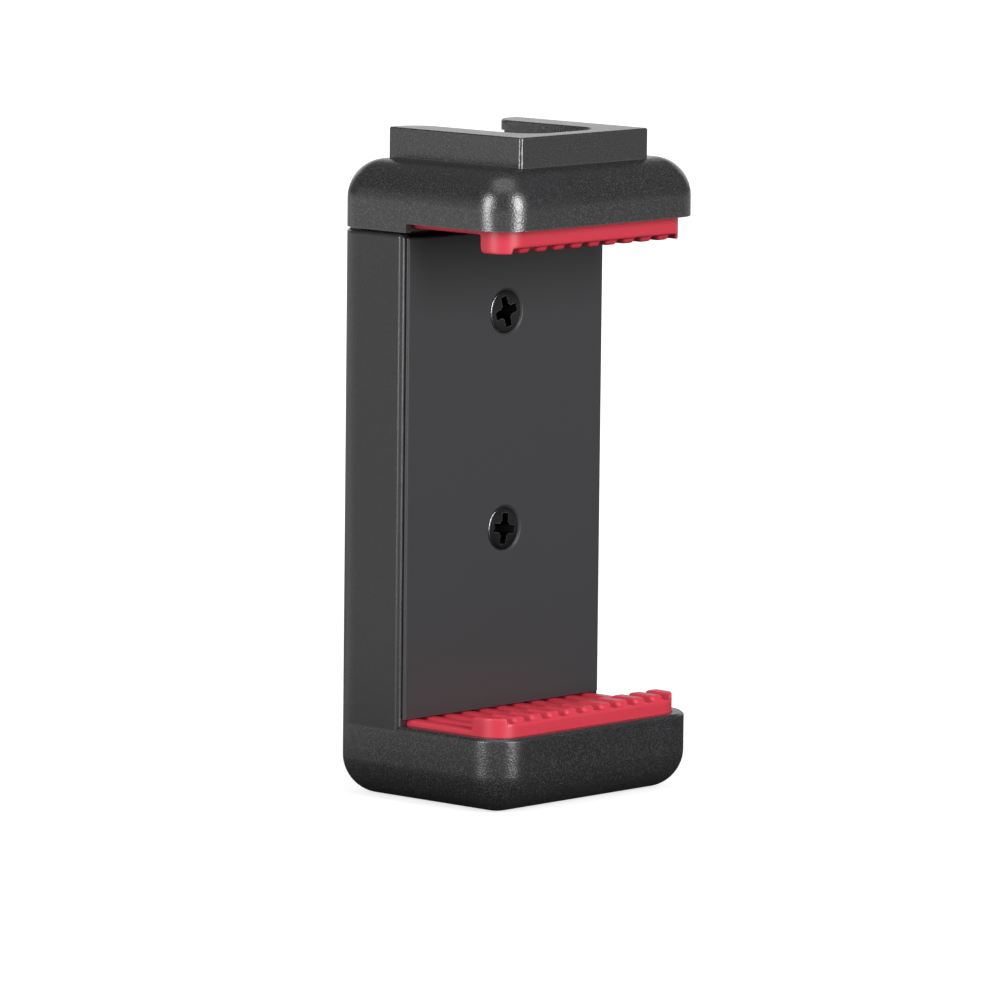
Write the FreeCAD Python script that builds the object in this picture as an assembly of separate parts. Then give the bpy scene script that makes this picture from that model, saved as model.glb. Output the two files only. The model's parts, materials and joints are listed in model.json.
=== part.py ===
import FreeCAD, Part
import math
import os

from FreeCAD import Vector

os.makedirs("parts", exist_ok=True)

# Phone holder: a lower jaw with an upright front plate, a rear shell screwed to it,
# and a spring-loaded upper jaw that slides up and down in the shell.
# X is the width, Y the depth with the front at -Y, Z the height.
# The origin lies under the middle of the foot. All sizes are millimetres.

# Outline shared by both jaws and the shell
holder_width = 37.3
holder_depth = 29.4
corner_radius = 5.0
edge_radius = 4.9
rim_chamfer = 0.35

# Heights
lower_jaw_height = 9.6
shell_seat_drop = 0.6
shell_height = 61.9
skirt_gap = 0.25
skirt_drop = 1.1
skirt_reach = 0.6
skirt_wall = 2.4
skirt_side_wall = 1.0
upper_jaw_height = 7.35

# Travel of the upper jaw
jaw_travel = 28.0

# Rear shell
shell_side_wall = 1.4
shell_back_wall = 1.6
shell_floor = 1.6
shell_edge_round = 0.7
shell_top_round = 0.5
shell_floor_front_gap = 1.8

# Front plate: a lid that stands proud of the shell, and a core that fits between its walls
plate_thickness = 2.8
plate_proud = 0.5
plate_lid_inset = 0.7
plate_lid_gap = 0.1
plate_side_gap = 0.45
plate_top_drop = 0.5
plate_edge_round = 0.3
plate_foot_thickness = 0.9
plate_root_thickness = 1.6
plate_root_height = 2.4

# Jaw mouldings
jaw_wall = 1.7
jaw_top_wall = 2.8
jaw_floor_wall = 2.0
core_inset = 3.6
core_rib = 1.4
core_rib_spacing = 7.6

# Rubber pads
pad_side_inset = 1.7
pad_front_inset = 1.5
pad_base = 1.6
pad_clearance = 0.1
pad_rear_gap = 0.1
rib_count = 11
rib_width = 1.9
rib_height = 0.7
rib_round = 0.35
lower_lip_depth = 4.8
lower_lip_height = 1.65
upper_lip_depth = 4.2
upper_lip_height = 2.25
tooth_height = 0.7
tooth_setback = 0.45
tooth_round = 0.55
tooth_edge_round = 0.3
lip_edge_round = 0.25
upper_pad_gap = 0.1

# Screws
lower_screw_rise = 23.2
upper_screw_drop = 10.3
lower_screw_turn = 8
upper_screw_turn = -15
screw_head_diameter = 5.8
screw_shank_diameter = 2.9
screw_hole_diameter = 3.3
screw_length = 9.0
screw_sink = 0.1
countersink_gap = 0.12
pilot_diameter = 3.0
boss_diameter = 6.4
boss_bottom = 1.0
recess_width = 0.85
recess_span = 3.9
recess_depth = 1.1
recess_core = 1.3

# Sliding arms of the upper jaw
arm_wall = 1.6
arm_web = 1.8
arm_side_clearance = 0.35
arm_front_clearance = 0.2
arm_back_clearance = 0.3
arm_foot_gap = 1.0
lug_height = 3.0
lug_reach = 1.2
lug_depth = 1.8
guide_thickness = 1.3
guide_clearance = 0.2
guide_top_drop = 0.5

# Springs and their pins
spring_diameter = 5.2
spring_wire = 0.7
spring_turns = 24
spring_end_gap = 3.4
spring_side_gap = 0.4
spring_front_gap = 0.4
spring_back_gap = 0.7
hook_radius = 1.55
hook_clearance = 0.01
hook_turn = 15.0
pin_diameter = 1.6
pin_fit = 0.02
pin_end_gap = 0.6
pin_chamfer = 0.2
lower_pin_rise = 3.0
upper_pin_drop = 4.9
saddle_thickness = 1.4
saddle_width = 4.0
saddle_top = 1.4
saddle_offset = 3.1

# Accessory shoe on top
shoe_width = 23.5
shoe_setback = 3.8
shoe_depth = 22.4
shoe_height = 3.7
shoe_lip = 1.3
shoe_slot_height = 2.1
shoe_slot_width = 18.7
shoe_opening = 13.4
shoe_front_wall = 3.0
shoe_slot_front_wall = 1.8
shoe_slot_corner = 1.5
shoe_corner_round = 0.45
shoe_opening_round = 3.7
shoe_rim_chamfer = 0.15

# Threaded insert in the foot
insert_diameter = 8.0
insert_waist = 7.4
insert_length = 7.0
insert_sink = 0.2
insert_bore = 5.1
insert_band = 2.4
insert_chamfer = 0.4
knurl_count = 24
knurl_depth = 0.25
insert_boss_diameter = 11.6

# Tongues that key the shell into the lower jaw
tongue_x = 9.0
tongue_width = 5.0
tongue_thickness = 1.6
tongue_length = 2.4
tongue_clearance = 0.1

# Places that follow from the sizes
half_width = holder_width / 2
half_depth = holder_depth / 2
rim_z = lower_jaw_height
seat_z = rim_z - shell_seat_drop
shell_top_z = seat_z + shell_height
skirt_z = shell_top_z + skirt_gap
upper_rim_z = skirt_z + skirt_drop
jaw_top_z = upper_rim_z + upper_jaw_height
shoe_top_z = jaw_top_z + shoe_height
shell_inner_y = half_depth - shell_back_wall
spring_y = shell_inner_y - spring_back_gap - spring_diameter / 2
arm_front_y = spring_y - spring_diameter / 2 - spring_front_gap - arm_web
arm_back_y = shell_inner_y - arm_back_clearance
plate_back_y = arm_front_y - arm_front_clearance
plate_front_y = plate_back_y - plate_thickness
shell_front_y = plate_front_y + plate_proud
lid_back_y = shell_front_y - plate_lid_gap
lid_half_width = half_width - plate_lid_inset
plate_core_half_width = half_width - shell_side_wall - plate_side_gap
plate_top_z = shell_top_z - plate_top_drop
shell_inner_x = half_width - shell_side_wall
floor_front_y = plate_back_y + shell_floor_front_gap
floor_top_z = seat_z + shell_floor
skirt_front_y = shell_front_y - skirt_reach
pad_half_width = half_width - pad_side_inset
pad_front_y = -half_depth + pad_front_inset
pad_corner = corner_radius - pad_side_inset
pad_floor_z = rim_z - pad_base
pad_notch_y = plate_back_y - plate_foot_thickness
lower_pad_rear_y = pad_notch_y - pad_rear_gap
upper_pad_rear_y = shell_front_y + upper_pad_gap
rib_pitch = (2 * pad_half_width - rib_width) / (rib_count - 1)
lower_screw_height = rim_z + lower_screw_rise
upper_screw_height = plate_top_z - upper_screw_drop
screw_heights = (lower_screw_height, upper_screw_height)
arm_outer_x = shell_inner_x - arm_side_clearance
arm_inner_x = arm_outer_x - 2 * arm_wall - 2 * spring_side_gap - spring_diameter
lower_pin_height = floor_top_z + lower_pin_rise
upper_pin_height = shell_top_z - upper_pin_drop
saddle_top_z = lower_pin_height + pin_diameter / 2 + saddle_top
arm_foot_height = saddle_top_z + arm_foot_gap
guide_stop_z = arm_foot_height + lug_height + jaw_travel
guide_top_z = shell_top_z - guide_top_drop
spring_x = (arm_inner_x + arm_outer_x) / 2
spring_radius = (spring_diameter - spring_wire) / 2
shoe_slot_top_z = shoe_top_z - shoe_lip
shoe_slot_floor_z = shoe_slot_top_z - shoe_slot_height
cut_margin = 1.0


def box(x0, x1, y0, y1, z0, z1):
    """Box between two corners."""
    return Part.makeBox(x1 - x0, y1 - y0, z1 - z0, Vector(x0, y0, z0))


def edges_along(shape, axis, test):
    """Straight edges that run along one axis and whose middle passes the test."""
    found = []
    for edge in shape.Edges:
        ends = [vertex.Point for vertex in edge.Vertexes]
        if len(ends) != 2:
            continue
        run = ends[1] - ends[0]
        if run.Length < 1e-6 or abs(abs(run[axis]) - run.Length) > 1e-6:
            continue
        if test((ends[0] + ends[1]) * 0.5):
            found.append(edge)
    return found


def edges_at_height(shape, height):
    """Edges that lie wholly at one height."""
    found = []
    for edge in shape.Edges:
        bound = edge.BoundBox
        if abs(bound.ZMin - height) < 1e-4 and abs(bound.ZMax - height) < 1e-4:
            found.append(edge)
    return found


def rounded_prism(x0, x1, y0, y1, z0, z1, radius):
    """Upright block with its four upright edges rounded."""
    block = box(x0, x1, y0, y1, z0, z1)
    return block.makeFillet(radius, edges_along(block, 2, lambda point: True))


def cylinder_y(x, z, diameter, y0, y1):
    """Cylinder that runs front to back."""
    return Part.makeCylinder(diameter / 2, y1 - y0, Vector(x, y0, z), Vector(0, 1, 0))


def cylinder_z(x, y, diameter, z0, z1):
    """Upright cylinder."""
    return Part.makeCylinder(diameter / 2, z1 - z0, Vector(x, y, z0), Vector(0, 0, 1))


def jaw_outline(z0, z1):
    """The plan outline shared by the jaws and the shell, as a prism."""
    return rounded_prism(-half_width, half_width, -half_depth, half_depth, z0, z1, corner_radius)


def core_pockets(y0, y1, z0, z1):
    """Hollows under a pad or the shell, divided by upright ribs."""
    inner = half_width - core_inset
    pocket = box(-inner, inner, y0, y1, z0, z1)
    ribs = []
    for step in (-1, 0, 1):
        middle = step * core_rib_spacing
        ribs.append(box(middle - core_rib / 2, middle + core_rib / 2, y0, y1, z0, z1))
    return pocket.cut(ribs)


def pad_outline(rear_y, clearance, z0, z1):
    """Plan outline of a pad: rounded at the front, square where it meets the plate."""
    long_rear = rear_y + clearance + 2 * pad_corner
    prism = rounded_prism(
        -pad_half_width - clearance,
        pad_half_width + clearance,
        pad_front_y - clearance,
        long_rear,
        z0,
        z1,
        pad_corner + clearance,
    )
    behind = box(-holder_width, holder_width, rear_y + clearance, long_rear + cut_margin, z0, z1)
    return prism.cut(behind)


def lower_block():
    """Body of the lower jaw: rounded foot, pad pocket, hollows and the insert's boss."""
    block = jaw_outline(0, rim_z)
    block = block.makeFillet(edge_radius, edges_at_height(block, 0))
    block = block.makeChamfer(rim_chamfer, edges_at_height(block, rim_z))
    block = block.cut(box(-holder_width, holder_width, shell_front_y, holder_depth, seat_z, rim_z + cut_margin))
    pad_pocket = pad_outline(pad_notch_y - pad_clearance, pad_clearance, pad_floor_z, rim_z + cut_margin)
    block = block.cut(pad_pocket)
    front_core = core_pockets(
        -half_depth + core_inset, plate_front_y - core_rib, jaw_floor_wall, pad_floor_z
    )
    rear_core = core_pockets(floor_front_y, half_depth - core_inset, jaw_floor_wall, seat_z)
    boss = cylinder_z(0, 0, insert_boss_diameter, 0, rim_z)
    block = block.cut(front_core.cut(boss))
    block = block.cut(rear_core.cut(boss))
    pocket_top = insert_sink + insert_length
    return block.cut(cylinder_z(0, 0, insert_diameter, -cut_margin, pocket_top))


def countersunk_hole(height):
    """Hole in the plate for one screw, with its conical seat."""
    wide = screw_head_diameter / 2 + countersink_gap
    narrow = screw_hole_diameter / 2
    depth = wide - narrow
    cone = Part.makeCone(wide, narrow, depth, Vector(0, plate_front_y, height), Vector(0, 1, 0))
    mouth = cylinder_y(0, height, 2 * wide, plate_front_y - cut_margin, plate_front_y)
    hole = cylinder_y(0, height, screw_hole_diameter, plate_front_y, plate_back_y + cut_margin)
    return cone.fuse([mouth, hole])


def front_plate():
    """Upright plate over the shell's open front, notched at the foot for the lower pad."""
    lid = box(-lid_half_width, lid_half_width, plate_front_y, lid_back_y, pad_floor_z, plate_top_z)
    front_top = edges_along(lid, 0, lambda p: abs(p.y - plate_front_y) < 1e-6 and p.z > rim_z)
    front_sides = edges_along(lid, 2, lambda p: abs(p.y - plate_front_y) < 1e-6)
    lid = lid.makeFillet(plate_edge_round, front_top + front_sides)
    core = box(
        -plate_core_half_width,
        plate_core_half_width,
        plate_front_y + plate_edge_round,
        plate_back_y,
        pad_floor_z,
        plate_top_z,
    )
    notch_top = rim_z + rib_height + pad_rear_gap
    plate = lid.fuse(core).cut(
        box(
            -holder_width,
            holder_width,
            plate_front_y - cut_margin,
            pad_notch_y,
            pad_floor_z - cut_margin,
            notch_top,
        )
    )
    root = box(
        -plate_core_half_width,
        plate_core_half_width,
        plate_back_y,
        plate_back_y + plate_root_thickness,
        pad_floor_z,
        seat_z + plate_root_height,
    )
    return plate.fuse(root)


def make_front_frame():
    """Lower jaw and front plate, one moulding."""
    frame = lower_block().fuse(front_plate())
    for height in screw_heights:
        frame = frame.cut(countersunk_hole(height))
    return frame.removeSplitter()


def shell_wall():
    """Side walls and back of the shell, rounded along its open front edges."""
    outer = jaw_outline(seat_z, shell_top_z)
    outer = outer.makeFillet(shell_top_round, edges_at_height(outer, shell_top_z))
    outer = outer.cut(
        box(
            -holder_width,
            holder_width,
            -holder_depth,
            shell_front_y,
            seat_z - cut_margin,
            shell_top_z + cut_margin,
        )
    )
    front_edges = edges_along(outer, 2, lambda p: p.y < shell_front_y + 1e-6 and abs(p.x) > shell_inner_x)
    outer = outer.makeFillet(shell_edge_round, front_edges)
    inner = rounded_prism(
        -shell_inner_x,
        shell_inner_x,
        -holder_depth,
        shell_inner_y,
        seat_z - cut_margin,
        shell_top_z + cut_margin,
        corner_radius - shell_side_wall,
    )
    return outer.cut(inner)


def shell_floor_plate():
    """Floor of the shell with the two tongues that drop into the lower jaw."""
    inner = rounded_prism(
        -shell_inner_x,
        shell_inner_x,
        -holder_depth,
        shell_inner_y,
        seat_z,
        floor_top_z,
        corner_radius - shell_side_wall,
    )
    front_room = box(-holder_width, holder_width, -holder_depth - cut_margin, floor_front_y, 0, shell_top_z)
    plate = inner.cut(front_room)
    tongues = []
    for side in (-1, 1):
        middle = side * (tongue_x + tongue_width / 2)
        tongues.append(
            box(
                middle - tongue_width / 2,
                middle + tongue_width / 2,
                floor_front_y + tongue_clearance,
                floor_front_y + tongue_clearance + tongue_thickness,
                seat_z - tongue_length,
                seat_z + shell_floor / 2,
            )
        )
    return plate.fuse(tongues)


def screw_boss(height):
    """Boss on the back wall that takes one screw."""
    return cylinder_y(0, height, boss_diameter, plate_back_y, shell_inner_y + shell_back_wall / 2)


def guide_rails():
    """Rails beside the arms; their lower ends stop the arms' lugs at full travel."""
    rails = []
    for side in (-1, 1):
        near = side * (arm_inner_x - guide_clearance)
        far = near - side * guide_thickness
        rails.append(
            box(
                min(near, far),
                max(near, far),
                arm_back_y - lug_depth,
                shell_inner_y + shell_back_wall / 2,
                guide_stop_z,
                guide_top_z,
            )
        )
    return rails


def pin_saddles():
    """Upright ears on the shell's floor that hold the lower spring pin."""
    saddles = []
    for side in (-1, 1):
        for offset in (-saddle_offset, saddle_offset):
            middle = side * spring_x + offset
            saddles.append(
                box(
                    middle - saddle_thickness / 2,
                    middle + saddle_thickness / 2,
                    spring_y - saddle_width / 2,
                    spring_y + saddle_width / 2,
                    seat_z + shell_floor / 2,
                    saddle_top_z,
                )
            )
    return saddles


def make_rear_shell():
    """Rear shell: walls, floor, screw bosses, guides and pin saddles."""
    shell = shell_wall().fuse(shell_floor_plate())
    shell = shell.fuse([screw_boss(height) for height in screw_heights])
    shell = shell.fuse(guide_rails() + pin_saddles())
    for height in screw_heights:
        shell = shell.cut(cylinder_y(0, height, pilot_diameter, plate_front_y, half_depth - boss_bottom))
    pin_hole = Part.makeCylinder(
        pin_diameter / 2 + pin_fit,
        2 * shell_inner_x,
        Vector(-shell_inner_x, spring_y, lower_pin_height),
        Vector(1, 0, 0),
    )
    return shell.cut(pin_hole).removeSplitter()


def jaw_cap():
    """Cap of the upper jaw: rounded top, deeper skirt over the shell, pad pocket below."""
    cap = jaw_outline(skirt_z, jaw_top_z)
    cap = cap.makeFillet(edge_radius, edges_at_height(cap, jaw_top_z))
    cap = cap.cut(
        box(-holder_width, holder_width, -holder_depth, skirt_front_y, skirt_z - cut_margin, upper_rim_z)
    )
    cap = cap.cut(pad_outline(upper_pad_rear_y, pad_clearance, upper_rim_z - cut_margin, upper_rim_z + pad_base))
    gate_half = half_width - skirt_side_wall
    gate_rear = upper_pad_rear_y + pad_clearance
    cap = cap.cut(box(-gate_half, gate_half, -holder_depth, gate_rear, skirt_z - cut_margin, upper_rim_z))
    core_top = jaw_top_z - jaw_top_wall
    cap = cap.cut(
        core_pockets(-half_depth + core_inset, skirt_front_y - core_rib, upper_rim_z + pad_base, core_top)
    )
    rear_room = rounded_prism(
        -half_width + jaw_wall,
        half_width - jaw_wall,
        skirt_front_y + skirt_wall,
        half_depth - jaw_wall,
        skirt_z - cut_margin,
        core_top,
        corner_radius - jaw_wall - shell_top_round,
    )
    return cap.cut(rear_room)


def slide_arm(side):
    """One arm: a channel open to the rear, with a lug at its foot that stops the travel."""
    arm_top = jaw_top_z - jaw_top_wall / 2
    x_in = side * arm_inner_x
    x_out = side * arm_outer_x
    web = box(
        min(x_in, x_out), max(x_in, x_out), arm_front_y, arm_front_y + arm_web, arm_foot_height, arm_top
    )
    inner = box(
        min(x_in, x_in + side * arm_wall),
        max(x_in, x_in + side * arm_wall),
        arm_front_y,
        arm_back_y,
        arm_foot_height,
        arm_top,
    )
    outer = box(
        min(x_out, x_out - side * arm_wall),
        max(x_out, x_out - side * arm_wall),
        arm_front_y,
        arm_back_y - corner_radius + shell_side_wall + arm_back_clearance,
        arm_foot_height,
        arm_top,
    )
    lug = box(
        min(x_in, x_in - side * lug_reach),
        max(x_in, x_in - side * lug_reach),
        arm_back_y - lug_depth,
        arm_back_y,
        arm_foot_height,
        arm_foot_height + lug_height,
    )
    return web.fuse([inner, outer, lug])


def shoe_block():
    """Accessory shoe: a U of two lipped rails, closed at the front, open at the rear."""
    half = shoe_width / 2
    front = -half_depth + shoe_setback
    rear = front + shoe_depth
    block = rounded_prism(-half, half, front, rear, jaw_top_z - jaw_top_wall / 2, shoe_top_z, shoe_corner_round)
    open_half = shoe_opening / 2
    opening = rounded_prism(
        -open_half,
        open_half,
        front + shoe_front_wall,
        rear + 2 * shoe_opening_round,
        shoe_slot_floor_z,
        shoe_top_z + cut_margin,
        shoe_opening_round,
    )
    block = block.cut(opening)
    mouth_edges = edges_along(block, 2, lambda p: abs(p.y - rear) < 1e-6 and abs(abs(p.x) - open_half) < 1e-6)
    block = block.makeFillet(shoe_opening_round, mouth_edges)
    slot_half = shoe_slot_width / 2
    slot = rounded_prism(
        -slot_half,
        slot_half,
        front + shoe_slot_front_wall,
        rear + 2 * shoe_slot_corner,
        shoe_slot_floor_z,
        shoe_slot_top_z,
        shoe_slot_corner,
    )
    block = block.cut(slot)
    return block.makeChamfer(shoe_rim_chamfer, edges_at_height(block, shoe_top_z))


def make_upper_jaw():
    """Upper jaw: cap, two sliding arms and the shoe, one moulding."""
    jaw = jaw_cap().fuse([slide_arm(-1), slide_arm(1), shoe_block()])
    pin_hole = Part.makeCylinder(
        pin_diameter / 2 + pin_fit,
        2 * arm_outer_x,
        Vector(-arm_outer_x, spring_y, upper_pin_height),
        Vector(1, 0, 0),
    )
    return jaw.cut(pin_hole).removeSplitter()


def pad_ribs(rear_y):
    """Ribs from front to back, each with a rounded crown."""
    ribs = []
    for index in range(rib_count):
        left = -pad_half_width + index * rib_pitch
        rib = box(left, left + rib_width, pad_front_y, rear_y, pad_floor_z, rim_z + rib_height)
        crown = edges_along(rib, 1, lambda p: abs(p.z - rim_z - rib_height) < 1e-6)
        ribs.append(rib.makeFillet(rib_round, crown))
    return ribs


def lip_teeth(lip_top, lip_rear_y):
    """Raised ends of the ribs behind the pad's front lip; only the outer two come to its front."""
    teeth = []
    top = lip_top + tooth_height
    for index in range(rib_count):
        left = -pad_half_width + index * rib_pitch
        setback = 0 if index in (0, rib_count - 1) else tooth_setback
        tooth = box(left, left + rib_width, pad_front_y + setback, lip_rear_y, pad_floor_z, top)
        ends = edges_along(tooth, 0, lambda p: abs(p.z - top) < 1e-6)
        tooth = tooth.makeFillet(tooth_round, ends)
        crown = [edge for edge in tooth.Edges if edge.BoundBox.ZMax > top - tooth_round + 1e-4
                 and edge.BoundBox.XLength < 1e-6]
        teeth.append(tooth.makeFillet(tooth_edge_round, crown))
    return teeth


def pad_shape(rear_y, lip_depth, lip_height):
    """A pad as it lies in the lower jaw, ribs upwards."""
    base = pad_outline(rear_y, 0, pad_floor_z, rim_z)
    lip_rear_y = pad_front_y + lip_depth
    lip_top = rim_z + lip_height
    lip = box(-pad_half_width, pad_half_width, pad_front_y, lip_rear_y, pad_floor_z, lip_top)
    lip = lip.makeFillet(lip_edge_round, edges_along(lip, 0, lambda p: abs(p.z - lip_top) < 1e-6))
    relief = lip.fuse(pad_ribs(rear_y) + lip_teeth(lip_top, lip_rear_y))
    limit = pad_outline(rear_y, 0, pad_floor_z, lip_top + tooth_height + cut_margin)
    return base.fuse(relief.common(limit)).removeSplitter()


def make_lower_pad():
    """Lower pad; its rear edge is held under the foot of the plate."""
    return pad_shape(lower_pad_rear_y, lower_lip_depth, lower_lip_height)


def make_upper_pad():
    """Upper pad, hanging ribs down from the upper jaw, with a deeper lip than the lower one."""
    middle = (rim_z + upper_rim_z) / 2
    pad = pad_shape(upper_pad_rear_y, upper_lip_depth, upper_lip_height)
    return pad.mirror(Vector(0, 0, middle), Vector(0, 0, 1))


def phillips_recess(front_y, height, turn):
    """Cross recess: two tapered blades and a pointed core."""
    tools = []
    half = recess_width / 2
    for angle in (turn, turn + 90):
        outline = [
            Vector(-recess_span / 2, front_y - cut_margin, 0),
            Vector(recess_span / 2, front_y - cut_margin, 0),
            Vector(recess_span / 2, front_y, 0),
            Vector(recess_core / 2, front_y + recess_depth, 0),
            Vector(-recess_core / 2, front_y + recess_depth, 0),
            Vector(-recess_span / 2, front_y, 0),
        ]
        face = Part.Face(Part.makePolygon(outline + outline[:1]))
        blade = face.extrude(Vector(0, 0, 2 * half))
        blade.translate(Vector(0, 0, -half))
        blade.rotate(Vector(0, 0, 0), Vector(0, 1, 0), angle)
        blade.translate(Vector(0, 0, height))
        tools.append(blade)
    core = Part.makeCone(
        recess_core, recess_core / 2, recess_depth, Vector(0, front_y, height), Vector(0, 1, 0)
    )
    return tools[0].fuse([tools[1], core])


def make_screw(height, turn):
    """Countersunk cross-recessed screw that holds the plate to the shell."""
    front = plate_front_y + screw_sink
    head_radius = screw_head_diameter / 2
    shank_radius = screw_shank_diameter / 2
    head_depth = head_radius - shank_radius
    head = Part.makeCone(head_radius, shank_radius, head_depth, Vector(0, front, height), Vector(0, 1, 0))
    shank = cylinder_y(0, height, screw_shank_diameter, front + head_depth, front + screw_length - shank_radius)
    tip = Part.makeCone(
        shank_radius,
        shank_radius / 2,
        shank_radius,
        Vector(0, front + screw_length - shank_radius, height),
        Vector(0, 1, 0),
    )
    return head.fuse([shank, tip]).cut(phillips_recess(front, height, turn)).removeSplitter()


def spring_hook(pin_height, toward, coil_end, pitch):
    """Ring pulled against its pin, with the stem and arm that join it to the coil."""
    radius = spring_wire / 2
    slack = hook_radius - radius - pin_diameter / 2 - hook_clearance
    ring_z = pin_height + toward * slack
    arm_z = coil_end + toward * pitch * hook_turn / 360
    stem_z = ring_z + toward * hook_radius
    angle = toward * math.radians(hook_turn)
    outwards = Vector(math.cos(angle), math.sin(angle), 0)
    ring = Part.makeTorus(hook_radius, radius, Vector(0, 0, ring_z), Vector(1, 0, 0))
    stem = Part.makeCylinder(radius, abs(arm_z - stem_z), Vector(0, 0, min(arm_z, stem_z)))
    bend = Part.makeSphere(radius, Vector(0, 0, arm_z))
    arm = Part.makeCylinder(radius, spring_radius, Vector(0, 0, arm_z), outwards)
    return ring.fuse(stem.fuse([bend, arm]))


def make_spring(side):
    """Tension spring between the two pins: one helical wire with a ring at each end."""
    coil_start = lower_pin_height + spring_end_gap
    coil_end = upper_pin_height - spring_end_gap
    pitch = (coil_end - coil_start) / spring_turns
    helix = Part.makeHelix(pitch, coil_end - coil_start, spring_radius)
    rise = math.atan2(pitch, 2 * math.pi * spring_radius)
    tangent = Vector(0, math.cos(rise), math.sin(rise))
    section = Part.Wire(Part.makeCircle(spring_wire / 2, Vector(spring_radius, 0, 0), tangent))
    coil = Part.Wire(helix.Edges).makePipeShell([section], True, True)
    coil.translate(Vector(0, 0, coil_start))
    lower_hook = spring_hook(lower_pin_height, 1, coil_start, pitch)
    upper_hook = spring_hook(upper_pin_height, -1, coil_end, pitch)
    spring = coil.fuse([lower_hook, upper_hook])
    spring.translate(Vector(side * spring_x, spring_y, 0))
    return spring


def make_pin(height, half_length):
    """Plain steel cross pin with bevelled ends."""
    pin = Part.makeCylinder(
        pin_diameter / 2, 2 * half_length, Vector(-half_length, spring_y, height), Vector(1, 0, 0)
    )
    rims = [edge for edge in pin.Edges if edge.BoundBox.XLength < 1e-6]
    return pin.makeChamfer(pin_chamfer, rims)


def make_tripod_insert():
    """Knurled brass bush with a tripod thread, shown as a plain bore at its minor diameter."""
    bottom = insert_sink
    top = insert_sink + insert_length
    bush = cylinder_z(0, 0, insert_waist, bottom, top)
    lower_band = cylinder_z(0, 0, insert_diameter, bottom, bottom + insert_band)
    upper_band = cylinder_z(0, 0, insert_diameter, top - insert_band, top)
    bush = bush.fuse([lower_band, upper_band])
    grooves = []
    for index in range(knurl_count):
        angle = 2 * math.pi * index / knurl_count
        reach = insert_diameter / 2
        groove = box(
            reach - knurl_depth,
            reach + knurl_depth,
            -knurl_depth,
            knurl_depth,
            bottom - cut_margin,
            top + cut_margin,
        )
        groove.rotate(Vector(reach, 0, 0), Vector(0, 0, 1), 45)
        groove.rotate(Vector(0, 0, 0), Vector(0, 0, 1), math.degrees(angle))
        grooves.append(groove)
    bush = bush.cut(grooves)
    bore = cylinder_z(0, 0, insert_bore, bottom - cut_margin, top + cut_margin)
    lead_in = Part.makeCone(
        insert_bore / 2 + insert_chamfer, insert_bore / 2, insert_chamfer, Vector(0, 0, bottom), Vector(0, 0, 1)
    )
    return bush.cut(bore.fuse(lead_in))


pieces = {
    "front_frame": make_front_frame(),
    "rear_shell": make_rear_shell(),
    "upper_jaw": make_upper_jaw(),
    "lower_pad": make_lower_pad(),
    "upper_pad": make_upper_pad(),
    "lower_plate_screw": make_screw(lower_screw_height, lower_screw_turn),
    "upper_plate_screw": make_screw(upper_screw_height, upper_screw_turn),
    "left_spring": make_spring(-1),
    "right_spring": make_spring(1),
    "lower_spring_pin": make_pin(lower_pin_height, shell_inner_x - pin_end_gap),
    "upper_spring_pin": make_pin(upper_pin_height, arm_outer_x - pin_end_gap),
    "tripod_insert": make_tripod_insert(),
}

for name, shape in pieces.items():
    shape.exportStep("parts/" + name + ".step")
    bound = shape.BoundBox
    print(
        "%-18s solids %d valid %s volume %8.1f  x %.2f %.2f  y %.2f %.2f  z %.2f %.2f"
        % (
            name,
            len(shape.Solids),
            shape.isValid(),
            shape.Volume,
            bound.XMin,
            bound.XMax,
            bound.YMin,
            bound.YMax,
            bound.ZMin,
            bound.ZMax,
        )
    )
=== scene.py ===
# %% [markdown]
# # A spring-loaded phone holder
# The real thing is a small black plastic clamp. A lower jaw carries an upright plate, a rear shell
# is screwed to the plate, and an upper jaw slides out of the shell against two springs. Both jaws
# are lined with ribbed red rubber, and an accessory shoe stands on top.
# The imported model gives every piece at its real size. This script gives the pieces their moulded
# edges, their surfaces, the light and the camera.

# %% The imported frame
import json
import math

import bpy
from mathutils import Matrix, Vector

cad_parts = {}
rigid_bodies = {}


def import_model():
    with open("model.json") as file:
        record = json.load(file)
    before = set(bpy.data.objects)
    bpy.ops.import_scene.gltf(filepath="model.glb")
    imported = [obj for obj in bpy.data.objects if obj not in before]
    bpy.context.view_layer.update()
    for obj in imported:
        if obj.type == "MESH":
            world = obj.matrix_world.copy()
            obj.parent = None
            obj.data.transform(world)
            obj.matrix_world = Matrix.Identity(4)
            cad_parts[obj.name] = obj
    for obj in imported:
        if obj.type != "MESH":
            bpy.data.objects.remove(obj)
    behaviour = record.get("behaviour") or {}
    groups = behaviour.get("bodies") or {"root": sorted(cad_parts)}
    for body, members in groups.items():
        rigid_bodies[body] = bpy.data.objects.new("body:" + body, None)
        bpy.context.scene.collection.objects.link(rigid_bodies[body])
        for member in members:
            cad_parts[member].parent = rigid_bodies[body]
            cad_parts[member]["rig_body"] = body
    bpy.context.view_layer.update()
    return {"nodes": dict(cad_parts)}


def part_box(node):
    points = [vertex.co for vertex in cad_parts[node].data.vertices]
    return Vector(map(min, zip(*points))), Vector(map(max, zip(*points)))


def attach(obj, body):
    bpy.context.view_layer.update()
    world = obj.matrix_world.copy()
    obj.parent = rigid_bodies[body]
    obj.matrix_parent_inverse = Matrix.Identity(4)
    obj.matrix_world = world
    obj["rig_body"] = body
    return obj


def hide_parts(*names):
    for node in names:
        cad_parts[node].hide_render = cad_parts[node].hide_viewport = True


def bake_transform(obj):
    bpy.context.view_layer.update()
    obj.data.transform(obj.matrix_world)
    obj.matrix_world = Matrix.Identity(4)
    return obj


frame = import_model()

MM = 0.001

# %% [markdown]
# ## Small helpers
# Operators act on whatever is selected, and the loaded nodes all start selected. So every step
# begins by deselecting everything and picking one object.

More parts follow.
